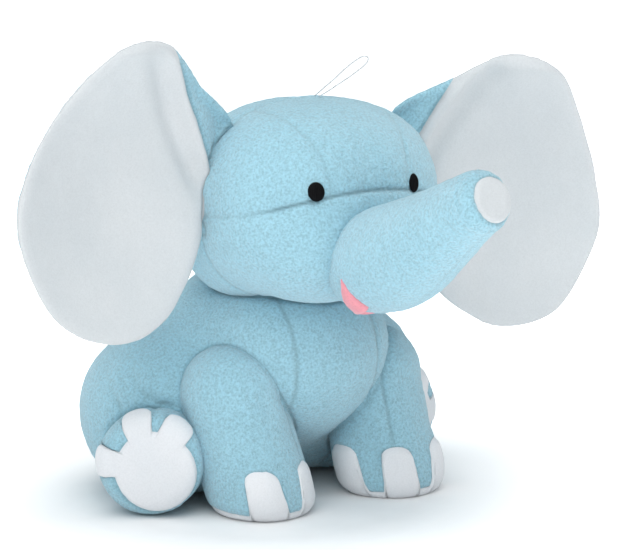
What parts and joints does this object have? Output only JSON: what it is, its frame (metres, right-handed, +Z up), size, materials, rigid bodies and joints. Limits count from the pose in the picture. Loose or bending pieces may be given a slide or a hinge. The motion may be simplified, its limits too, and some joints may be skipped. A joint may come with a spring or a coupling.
{
  "type": "stuffed toy elephant",
  "caption": "Seated plush elephant with large white-lined ears, a raised trunk, stubby legs with white soles and toenails, embroidered eyes and a hanging loop.",
  "frame": {"origin": "on the floor, under the middle of the seat", "axes": "+X to the toy's left, +Y to its back, +Z up; the trunk points to -Y"},
  "size_m": [0.3287, 0.2665, 0.2366],
  "materials": {
    "blue_fleece": "short fuzzy fleece, matt",
    "white_velour": "smooth short velour, matt",
    "mouth_velour": "pink short velour, matt",
    "eye_thread": "black satin stitch, slight sheen",
    "polyester_fibre": "loose white fibre fill",
    "clear_nylon": "clear monofilament"
  },
  "bodies": {
    "torso": {"seat_panel": "blue_fleece", "chest_gusset": "blue_fleece", "torso_left_panel": "blue_fleece", "torso_right_panel": "blue_fleece", "torso_stuffing": "polyester_fibre"},
    "head": {"head_back_left": "blue_fleece", "head_back_right": "blue_fleece", "forehead_left": "blue_fleece", "forehead_right": "blue_fleece", "cheek_left": "blue_fleece", "cheek_right": "blue_fleece", "crown_gusset": "blue_fleece", "mouth_lining": "mouth_velour", "chin_panel": "blue_fleece", "head_stuffing": "polyester_fibre", "eye_left": "eye_thread", "eye_right": "eye_thread", "hang_loop": "clear_nylon"},
    "trunk": {"trunk_tip": "white_velour", "trunk_left_panel": "blue_fleece", "trunk_right_panel": "blue_fleece", "trunk_stuffing": "polyester_fibre"},
    "tail": {"tail": "blue_fleece", "tail_tuft": "white_velour"},
    "ear_left": {"ear_back_left": "blue_fleece", "ear_batting_left": "polyester_fibre", "ear_lining_left": "white_velour"},
    "front_leg_left": {"front_leg_left_sole": "white_velour", "front_leg_left_outer_panel": "blue_fleece", "front_leg_left_inner_panel": "blue_fleece", "front_leg_left_stuffing": "polyester_fibre", "front_leg_left_inner_nail": "white_velour", "front_leg_left_middle_nail": "white_velour", "front_leg_left_outer_nail": "white_velour"},
    "hind_leg_left": {"hind_leg_left_sole": "white_velour", "hind_leg_left_outer_panel": "blue_fleece", "hind_leg_left_inner_panel": "blue_fleece", "hind_leg_left_stuffing": "polyester_fibre", "hind_leg_left_inner_nail": "white_velour", "hind_leg_left_middle_nail": "white_velour", "hind_leg_left_outer_nail": "white_velour"},
    "ear_right": {"ear_back_right": "blue_fleece", "ear_batting_right": "polyester_fibre", "ear_lining_right": "white_velour"},
    "front_leg_right": {"front_leg_right_sole": "white_velour", "front_leg_right_outer_panel": "blue_fleece", "front_leg_right_inner_panel": "blue_fleece", "front_leg_right_stuffing": "polyester_fibre", "front_leg_right_inner_nail": "white_velour", "front_leg_right_middle_nail": "white_velour", "front_leg_right_outer_nail": "white_velour"},
    "hind_leg_right": {"hind_leg_right_sole": "white_velour", "hind_leg_right_outer_panel": "blue_fleece", "hind_leg_right_inner_panel": "blue_fleece", "hind_leg_right_stuffing": "polyester_fibre", "hind_leg_right_inner_nail": "white_velour", "hind_leg_right_middle_nail": "white_velour", "hind_leg_right_outer_nail": "white_velour"}
  },
  "joints": [
    {"name": "neck_nod", "type": "hinge", "parent": "torso", "child": "head", "pos_m": [0, -0.038, 0.092], "axis": [1, 0, 0], "range_deg": [-8, 8], "stiffness_Nm_per_rad": 1.2},
    {"name": "trunk_bend", "type": "hinge", "parent": "head", "child": "trunk", "pos_m": [0, -0.091, 0.131], "axis": [1, 0, 0], "range_deg": [-12, 12], "stiffness_Nm_per_rad": 0.25},
    {"name": "tail_swing", "type": "hinge", "parent": "torso", "child": "tail", "pos_m": [0, 0.049, 0.038], "axis": [1, 0, 0], "range_deg": [-10, 25], "stiffness_Nm_per_rad": 0.02},
    {"name": "ear_flap_left", "type": "hinge", "parent": "head", "child": "ear_left", "pos_m": [0.0535, -0.045, 0.1665], "axis": [-0.3939, 0, 0.9191], "range_deg": [-28, 12], "stiffness_Nm_per_rad": 0.12},
    {"name": "front_leg_swing_left", "type": "hinge", "parent": "torso", "child": "front_leg_left", "pos_m": [0.041, -0.04, 0.057], "axis": [-1, 0, 0], "range_deg": [-8, 20], "stiffness_Nm_per_rad": 0.5},
    {"name": "hind_leg_lift_left", "type": "hinge", "parent": "torso", "child": "hind_leg_left", "pos_m": [0.0465, 0.0245, 0.0268], "axis": [-0.8387, -0.5446, 0], "range_deg": [-5, 12], "stiffness_Nm_per_rad": 0.5},
    {"name": "ear_flap_right", "type": "hinge", "parent": "head", "child": "ear_right", "pos_m": [-0.0535, -0.045, 0.1665], "axis": [0.3939, 0, 0.9191], "range_deg": [-14, 28], "stiffness_Nm_per_rad": 0.12},
    {"name": "front_leg_swing_right", "type": "hinge", "parent": "torso", "child": "front_leg_right", "pos_m": [-0.044, -0.04, 0.057], "axis": [-1, 0, 0], "range_deg": [-8, 20], "stiffness_Nm_per_rad": 0.5},
    {"name": "hind_leg_lift_right", "type": "hinge", "parent": "torso", "child": "hind_leg_right", "pos_m": [-0.048, 0.011, 0.0268], "axis": [-0.7431, 0.6691, 0], "range_deg": [-5, 12], "stiffness_Nm_per_rad": 0.5}
  ]
}
